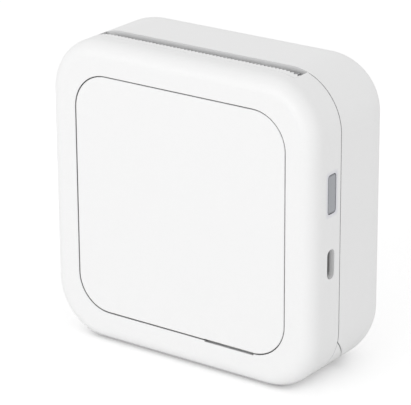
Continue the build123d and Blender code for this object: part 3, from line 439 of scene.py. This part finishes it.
# %% Holder and chassis: nylon
holder_nylon, tree, shader = new_material("moulded grey nylon")
grained(tree, shader, ("9A9A9C", "A4A4A6"), (0.48, 0.58), 0.6, 0.006)
chassis_nylon, tree, shader = new_material("glass filled nylon")
grained(tree, shader, ("3A3B3E", "4A4B4F"), (0.42, 0.60), 1.4, 0.010, (1, 1, 0.35))
# Painted shade in the chassis's joints.
painted_joint_shade(tree, shader, "1E1F21", 1.0, 0.4, 0.8)
print(holder_nylon.name, "and", chassis_nylon.name)

# %% [markdown]
# Gears are acetal, a waxy natural white. The bushes and the small electronic bodies are black
# moulded plastics, the bushes with a dry bearing grade that is duller.

# %% Gears, bushes and small bodies
gear_acetal, tree, shader = new_material("moulded acetal")
grained(tree, shader, ("E6E2D6", "EEEAE0"), (0.30, 0.40), 0.8, 0.003)
shader.inputs["Subsurface Weight"].default_value = 0.1
shader.inputs["Subsurface Radius"].default_value = (0.5 * MM, 0.5 * MM, 0.4 * MM)
bush_plastic, tree, shader = new_material("dry bearing plastic")
grained(tree, shader, ("161617", "222223"), (0.50, 0.62), 0.3, 0.004)
connector_lcp, tree, shader = new_material("moulded liquid crystal polymer")
grained(tree, shader, ("121213", "1B1B1D"), (0.36, 0.50), 0.5, 0.004, (1, 1, 0.3))
print(gear_acetal.name, "and two black plastics")

# %% [markdown]
# Metals need a full metallic value and a colour that is the tint of their reflection. What tells
# them apart is how they were worked: pressed sheet has a faint rolled grain one way, a turned
# shaft has fine rings round it, an extrusion has long die lines, and a screw has a zinc bloom.

# %% Metals
pressed_steel, tree, shader = new_material("pressed tinned steel")
grained(tree, shader, ("B4B6B8", "C6C8CA"), (0.26, 0.40), 0.5, 0.004, (1, 1, 0.12))
shader.inputs["Metallic"].default_value = 1.0
socket_metal, tree, shader = new_material("tin plated shell with black tongue")
grained(tree, shader, ("C6C7C9", "D2D3D5"), (0.24, 0.36), 0.5, 0.003, (1, 1, 0.12))
tongue_half = Vector((2.2, 0.32, 2.32)) * MM
socket_middle = (socket_low + socket_high) / 2
from_tongue = distance_to_box(tree, socket_middle - tongue_half, socket_middle + tongue_half)
tongue_margin = 0.005 * MM
is_tongue = math_node(tree, "LESS_THAN", from_tongue, tongue_margin)
over_colour(tree, shader, is_tongue, "19191B")
tree.links.new(mix_shade(tree, is_tongue, 1.0, 0.0), shader.inputs["Metallic"])
turned_steel, tree, shader = new_material("ground steel")
grained(tree, shader, ("A8A9AB", "BEBFC1"), (0.18, 0.32), 0.12, 0.002, (1, 0.05, 0.05))
shader.inputs["Metallic"].default_value = 1.0
screw_steel, tree, shader = new_material("black zinc plated steel")
grained(tree, shader, ("3C3C3E", "56565A"), (0.30, 0.48), 0.3, 0.005)
shader.inputs["Metallic"].default_value = 1.0
sink_aluminium, tree, shader = new_material("extruded aluminium")
grained(tree, shader, ("C4C6C9", "D6D7DA"), (0.30, 0.46), 0.25, 0.006, (0.04, 1, 1))
shader.inputs["Metallic"].default_value = 1.0
print("five metals")

# %% [markdown]
# The heater strip is alumina ceramic under a thin glass glaze, and the dark line of heating dots
# runs along its middle. The line is drawn from the height on the strip: where a point is within
# a quarter of a millimetre of the middle, the colour goes dark.

# %% Heater strip: glazed alumina
heater_low, heater_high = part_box("heater_bar")
heater_middle = (heater_low.z + heater_high.z) / 2
glazed_alumina, tree, shader = new_material("glazed alumina")
grained(tree, shader, ("E9E4D8", "F0ECE2"), (0.10, 0.18), 0.8, 0.001)
dot_half_width = 0.25 * MM
height = add_node(tree, "ShaderNodeSeparateXYZ", None, Vector=place_of(tree)).outputs["Z"]
on_line = math_node(tree, "COMPARE", height, heater_middle, dot_half_width)
over_colour(tree, shader, on_line, "4A3A30")
shader.inputs["Coat Weight"].default_value = 0.8
shader.inputs["Coat Roughness"].default_value = 0.05
print("the line of heating dots is at", round(heater_middle / MM, 2), "mm")

# %% [markdown]
# The roller's rubber is ground to size, which leaves it matt with faint rings. The circuit board
# is green solder mask over copper, and the copper shows through as slightly lighter tracks. A
# cell texture with a small jitter draws their angular layout. The conductors of the ribbon cable
# lie a millimetre apart, and a wave texture draws them as bands. At a scale of 1 it has 20 bands
# in every 2 pi metres, so the scale is worked out from that. The battery is a pouch of creased
# foil, and the resin of the lamp is clear with a cool tint.

# %% Rubber, circuit board, cable and battery
ground_rubber, tree, shader = new_material("ground silicone rubber")
grained(tree, shader, ("1C1C1E", "29292B"), (0.62, 0.78), 0.18, 0.006, (1, 0.1, 0.1))
solder_mask, tree, shader = new_material("green solder mask")
tracks = add_node(
    tree,
    "ShaderNodeTexVoronoi",
    {"distance": "MANHATTAN", "feature": "F1"},
    Vector=place_of(tree),
    Scale=1.0 / (2.4 * MM),
    Randomness=0.85,
)
track_edge = mix_shade(tree, tracks.outputs["Distance"], 0.0, 1.0)
tree.links.new(mixed(tree, track_edge, linear("0E5A38"), linear("15774C")), shader.inputs["Base Color"])
shader.inputs["Roughness"].default_value = 0.24
shader.inputs["Coat Weight"].default_value = 0.4
bump = add_node(tree, "ShaderNodeBump", None, Strength=1.0, Distance=0.02 * MM, Height=track_edge)
tree.links.new(bump.outputs["Normal"], shader.inputs["Normal"])
polyester_film, tree, shader = new_material("polyester ribbon cable")
conductor_pitch = 1.0 * MM
bands_per_unit = 20.0 / (2 * math.pi)
conductor = add_node(
    tree,
    "ShaderNodeTexWave",
    {"wave_type": "BANDS", "bands_direction": "X", "wave_profile": "SIN"},
    Vector=place_of(tree),
    Scale=1.0 / (bands_per_unit * conductor_pitch),
)
tree.links.new(
    mixed(tree, conductor.outputs["Fac"], linear("E8E6DE"), linear("A9A8A4")), shader.inputs["Base Color"]
)
shader.inputs["Roughness"].default_value = 0.28
cell_foil, tree, shader = new_material("aluminium pouch foil")
grained(tree, shader, ("C2C3C6", "D8D9DC"), (0.22, 0.38), 3.5, 0.08)
shader.inputs["Metallic"].default_value = 0.9
lamp_resin, tree, shader = new_material("clear lamp resin")
grained(tree, shader, ("D4D8E6", "DEE2F0"), (0.12, 0.2), 0.6, 0.001)
print("rubber, solder mask, ribbon, foil and resin")

# %% [markdown]
# Each piece of the construction model now gets the finish of its real counterpart. The list is
# written the way a parts list is, finish first and then the pieces that have it.

# %% Dress the construction model
finishes = {
    casing_abs: ("front_housing", "rear_cover", "tear_bar"),
    plate_abs: ("face_plate",),
    button_pc: ("power_button",),
    holder_nylon: ("platen_holder",),
    chassis_nylon: ("chassis",),
    gear_acetal: ("platen_gear", "idler_gear", "motor_pinion"),
    bush_plastic: ("platen_bushes",),
    connector_lcp: (
        "switch_plunger",
        "tact_switch",
        "battery_connector",
        "flex_connector",
        "paper_sensor",
    ),
    socket_metal: ("usb_socket",),
    pressed_steel: ("wireless_module", "mechanism_frame", "feed_motor"),
    turned_steel: ("platen_shaft", "idler_axle", "motor_shaft", "hinge_pins"),
    sink_aluminium: ("heat_sink",),
    glazed_alumina: ("heater_bar",),
    ground_rubber: ("platen_rubber",),
    solder_mask: ("main_board",),
    polyester_film: ("head_cable",),
    cell_foil: ("battery_cell",),
    lamp_resin: ("status_led",),
}
for material, names in finishes.items():
    for name in names:
        nodes[name].data.materials.clear()
        nodes[name].data.materials.append(material)
undressed = sorted(set(nodes) - {name for names in finishes.values() for name in names})
print("redrawn further down:", undressed)

# %% [markdown]
# Small pieces are drawn as meshes that are joined from rings or boxes. Each one is a closed
# shell of its own, and each gets the body that it moves with, so it follows every joint.

# %% Draw small pieces
def add_piece(name, mesh, material, body, bevel=0.0):
    """An object made from a mesh that rides on a body, with its edges broken by a bevel."""
    bmesh.ops.recalc_face_normals(mesh, faces=mesh.faces)
    data = bpy.data.meshes.new(name)
    mesh.to_mesh(data)
    mesh.free()
    data.materials.append(material)
    piece = bpy.data.objects.new(name, data)
    bpy.context.scene.collection.objects.link(piece)
    if bevel:
        edge = piece.modifiers.new("broken edges", "BEVEL")
        edge.width = bevel * MM
        edge.segments = 2
    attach(piece, body)
    return piece


def add_box(mesh, low, high):
    """Adds a straight block between two corners."""
    corners = [
        mesh.verts.new((x, y, z)) for x in (low.x, high.x) for y in (low.y, high.y) for z in (low.z, high.z)
    ]
    for a, b, c, d in ((0, 1, 3, 2), (4, 6, 7, 5), (0, 4, 5, 1), (2, 3, 7, 6), (0, 2, 6, 4), (1, 5, 7, 3)):
        mesh.faces.new((corners[a], corners[b], corners[c], corners[d]))


def add_rings(mesh, rings, closed=False):
    """Joins rings of points, each as long as the last. An open run of rings gets two end caps."""
    made = [[mesh.verts.new(point) for point in ring] for ring in rings]
    count = len(made[0])
    pairs = list(zip(made, made[1:]))
    if closed:
        pairs.append((made[-1], made[0]))
    for first, second in pairs:
        for i in range(count):
            mesh.faces.new((first[i], first[(i + 1) % count], second[(i + 1) % count], second[i]))
    if not closed:
        mesh.faces.new(made[0])
        mesh.faces.new(made[-1])


print("small pieces can be drawn")

# %% [markdown]
# Every screw is a small pan-head machine screw. The recess for the screwdriver is a cross, which
# a formula draws: along each direction it reaches as far as the nearer pair of the cross's arms
# allows. The recess narrows as it goes down, as a real one does, and the head has a low dome.

# %% Screws with cross recesses
SCREW_POINTS = 48
recess_reach = 0.85 * MM
recess_half_width = 0.2 * MM
recess_depth = 0.55 * MM


def cross_reach(angle, scale):
    """How far the cross reaches from its middle in that direction."""
    c, s = max(abs(math.cos(angle)), 1e-6), max(abs(math.sin(angle)), 1e-6)
    along = min(recess_reach * scale / c, recess_half_width * scale / s)
    upward = min(recess_reach * scale / s, recess_half_width * scale / c)
    return max(along, upward)


def add_screw(mesh, x, z, seat_y, way, head_height, head_radius, shank_radius, length):
    """Adds one screw along Y. Way is -1 for one that points to the front, +1 to the rear."""
    top_y = seat_y - way * head_height
    profile = [
        (seat_y + way * length, shank_radius * 0.7),
        (seat_y + way * (length - 0.3 * MM), shank_radius),
        (seat_y, shank_radius),
        (seat_y, head_radius * 0.97),
        (seat_y - way * head_height * 0.15, head_radius),
        (seat_y - way * head_height * 0.6, head_radius * 0.96),
        (seat_y - way * head_height * 0.88, head_radius * 0.82),
        (top_y, head_radius * 0.62),
    ]
    angles = [2 * math.pi * i / SCREW_POINTS for i in range(SCREW_POINTS)]
    rings = [[(x + r * math.cos(a), y, z + r * math.sin(a)) for a in angles] for y, r in profile]
    for y, scale in ((top_y, 1.0), (top_y + way * recess_depth, 0.45)):
        reach = [cross_reach(a, scale) for a in angles]
        rings.append([(x + r * math.cos(a), y, z + r * math.sin(a)) for a, r in zip(angles, reach)])
    add_rings(mesh, rings)


def islands(name):
    """The lowest and highest corners of each separate solid in a node."""
    source = bmesh.new()
    source.from_mesh(nodes[name].data)
    bmesh.ops.remove_doubles(source, verts=source.verts, dist=1e-6)
    left = set(source.verts)
    found = []
    while left:
        group = [left.pop()]
        for vert in group:
            for edge in vert.link_edges:
                other = edge.other_vert(vert)
                if other in left:
                    left.remove(other)
                    group.append(other)
        spots = [v.co.copy() for v in group]
        low = Vector(min(p[i] for p in spots) for i in range(3))
        high = Vector(max(p[i] for p in spots) for i in range(3))
        found.append((low, high))
    source.free()
    return sorted(found, key=lambda pair: (round(pair[0].x, 5), round(pair[0].z, 5)))


head_height = 0.9 * MM
shank_radius = 0.8 * MM
screw_count = 0
for name, body, way in (
    ("chassis_screws", "housing", -1),
    ("board_screws", "housing", -1),
    ("holder_screws", "rear_cover", 1),
):
    mesh = bmesh.new()
    for low, high in islands(name):
        middle = (low + high) / 2
        head_top_y = high.y if way < 0 else low.y
        length = (high.y - low.y) - head_height
        seat_y = head_top_y + way * head_height
        radius = (high.x - low.x) / 2
        add_screw(mesh, middle.x, middle.z, seat_y, way, head_height, radius, shank_radius, length)
        screw_count += 1
    piece = add_piece(name.replace("screws", "machine_screws"), mesh, screw_steel, body)
    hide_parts(name)
print(screw_count, "screws have cross recesses")

# %% [markdown]
# The socket is sealed to the wall by a thin ring of black foam, which keeps dust off the board.
# It is also placed as a dark piece of painted shade deep inside the opening. The ring is drawn
# from two rounded rectangles, one inside the other, at the two ends of its depth.

# %% Foam ring round the socket
foam, tree, shader = new_material("closed cell foam and painted shade")
grained(tree, shader, ("131314", "202022"), (0.80, 0.92), 0.25, 0.02)


def rounded_outline(half_y, half_z, radius, steps=6):
    """Points round a rectangle with round corners, in metres, from its middle."""
    points = []
    for quarter, sy, sz in ((0, 1, 1), (1, -1, 1), (2, -1, -1), (3, 1, -1)):
        for step in range(steps + 1):
            angle = math.pi / 2 * (quarter + step / steps)
            y = sy * (half_y - radius) + radius * math.cos(angle)
            z = sz * (half_z - radius) + radius * math.sin(angle)
            points.append((y, z))
    return points


foam_depth = 0.54 * MM
foam_width = 0.7 * MM
foam_gap = 0.03 * MM
half_y = (socket_high.y - socket_low.y) / 2
half_z = (socket_high.z - socket_low.z) / 2
foam_overlap = 0.25 * MM
inner_radius = 0.5 * MM
outer_radius = 1.2 * MM
inner = rounded_outline(half_y - foam_overlap, half_z - foam_overlap, inner_radius)
outer = rounded_outline(half_y + foam_width, half_z + foam_width, outer_radius)
near_x, far_x = socket_high.x + foam_gap, socket_high.x + foam_gap + foam_depth
mesh = bmesh.new()
ring_places = ((near_x, inner), (far_x, inner), (far_x, outer), (near_x, outer))
add_rings(
    mesh,
    [[(x, socket_middle.y + y, socket_middle.z + z) for y, z in line] for x, line in ring_places],
    closed=True,
)
# A foam seal that also serves as painted shade deep in the port's opening.
add_piece("socket_foam_and_shade_ring", mesh, foam, "housing")
print("the foam ring is", round(foam_depth / MM, 2), "mm deep")

# %% [markdown]
# The side arm of the circuit board shows when the cover is open. Its rear carries a small
# controller, a row of chip resistors and capacitors, and the soldered feet of the socket and of
# the switch in front. They are drawn as low blocks with broken edges, and the solder as domes.

# %% Parts and solder on the back of the board
solder, tree, shader = new_material("reflowed solder")
grained(tree, shader, ("B9BABC", "CFD0D2"), (0.16, 0.30), 0.4, 0.004)
shader.inputs["Metallic"].default_value = 1.0
chip_ceramic, tree, shader = new_material("fired chip ceramic")
grained(tree, shader, ("8A6A4A", "A48460"), (0.35, 0.5), 0.3, 0.003)
board_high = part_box("main_board")[1]
back_y = board_high.y
arm_width = 5.3 * MM
arm_inner_x = board_high.x - arm_width
chip_depth = 0.5 * MM
controller_size = 3.6 * MM
controller_depth = 0.8 * MM
controller_z = 41.5 * MM
arm_middle_x = (arm_inner_x + board_high.x) / 2

mesh = bmesh.new()
half = controller_size / 2
add_box(
    mesh,
    Vector((arm_middle_x - half, back_y, controller_z - half)),
    Vector((arm_middle_x + half, back_y + controller_depth, controller_z + half)),
)
add_piece("controller_chip", mesh, connector_lcp, "housing", 0.08)

chip_half_length = 0.3 * MM
chip_half_width = 0.25 * MM
end_half_length = 0.12 * MM
end_half_width = 0.27 * MM
end_offset = 0.42 * MM
column_offset = 1.1 * MM
chips, caps = bmesh.new(), bmesh.new()
chip_rows = [29.0 + 2.1 * i for i in range(4)] + [46.5 + 2.0 * i for i in range(3)]
for row in chip_rows:
    for column in (-1, 1):
        x = arm_middle_x + column * column_offset
        z = row * MM
        add_box(
            chips,
            Vector((x - chip_half_length, back_y, z - chip_half_width)),
            Vector((x + chip_half_length, back_y + chip_depth, z + chip_half_width)),
        )
        for end in (-1, 1):
            end_x = x + end * end_offset
            add_box(
                caps,
                Vector((end_x - end_half_length, back_y, z - end_half_width)),
                Vector((end_x + end_half_length, back_y + chip_depth * 0.9, z + end_half_width)),
            )
add_piece("chip_bodies", chips, chip_ceramic, "housing", 0.04)
add_piece("chip_ends", caps, solder, "housing", 0.04)


def add_dome(mesh, x, z, radius, height, points=16, rows=4):
    """Adds a dome of solder that stands on the back of the board."""
    rings = []
    for row in range(rows + 1):
        rise = math.pi / 2 * row / (rows + 0.5)
        r, y = radius * math.cos(rise), back_y + height * math.sin(rise)
        angles = [2 * math.pi * i / points for i in range(points)]
        rings.append([(x + r * math.cos(a), y, z + r * math.sin(a)) for a in angles])
    add_rings(mesh, rings)


mesh = bmesh.new()
joint_radius = 0.45 * MM
joint_height = 0.3 * MM
switch_low, switch_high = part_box("tact_switch")
for low, high, inset in ((socket_low, socket_high, 0.9), (switch_low, switch_high, 0.7)):
    for z in (low.z + inset * MM, high.z - inset * MM):
        for x in (low.x + inset * MM, min(high.x, board_high.x) - inset * MM):
            add_dome(mesh, x, z, joint_radius, joint_height)
add_piece("solder_joints", mesh, solder, "housing")
print(2 * len(chip_rows), "chips and 8 solder joints")

# %% [markdown]
# Two coil springs press the print head against the roller. Each is wound from round wire, with
# an end turn lying flat at both ends, as a ground and closed spring has. In the printer they
# shorten as the head is pushed back, towards the web that each front end stands on.

# %% Closed coil springs
spring_wire, tree, shader = new_material("drawn spring steel")
grained(tree, shader, ("8E9093", "A9ABAE"), (0.22, 0.34), 0.15, 0.002, (1, 0.3, 1))
shader.inputs["Metallic"].default_value = 1.0
WIRE_POINTS = 10
TURN_STEPS = 28
wire_radius = 0.2 * MM
spring_turns = 4.5
end_turns = 0.8
spring_end_gap = 0.02 * MM


def wound_share(turns_done):
    """How far along the spring's length the wire has come after that many turns."""
    flat_rise = 0.08
    open_turns = spring_turns - 2 * end_turns
    if turns_done < end_turns:
        return flat_rise * turns_done / end_turns
    if turns_done > spring_turns - end_turns:
        return 1.0 - flat_rise * (spring_turns - turns_done) / end_turns
    return flat_rise + (1.0 - 2 * flat_rise) * (turns_done - end_turns) / open_turns


around = [2 * math.pi * i / WIRE_POINTS for i in range(WIRE_POINTS)]
along_y = Vector((0.0, 1.0, 0.0))
mesh = bmesh.new()
for low, high in islands("head_springs"):
    middle = (low + high) / 2
    coil_radius = (high.x - low.x) / 2 - wire_radius
    start_y = low.y + spring_end_gap + wire_radius
    coil_length = high.y - low.y - 2 * (spring_end_gap + wire_radius)
    rings = []
    for step in range(int(spring_turns * TURN_STEPS) + 1):
        done = step / TURN_STEPS
        angle = 2 * math.pi * done
        outward = Vector((math.cos(angle), 0.0, math.sin(angle)))
        centre = middle + outward * coil_radius
        centre.y = start_y + coil_length * wound_share(done)
        rings.append(
            [centre + (outward * math.cos(a) + along_y * math.sin(a)) * wire_radius for a in around]
        )
    add_rings(mesh, rings)
piece = add_piece("closed_coil_springs", mesh, spring_wire, "housing")
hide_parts("head_springs")
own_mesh(piece)
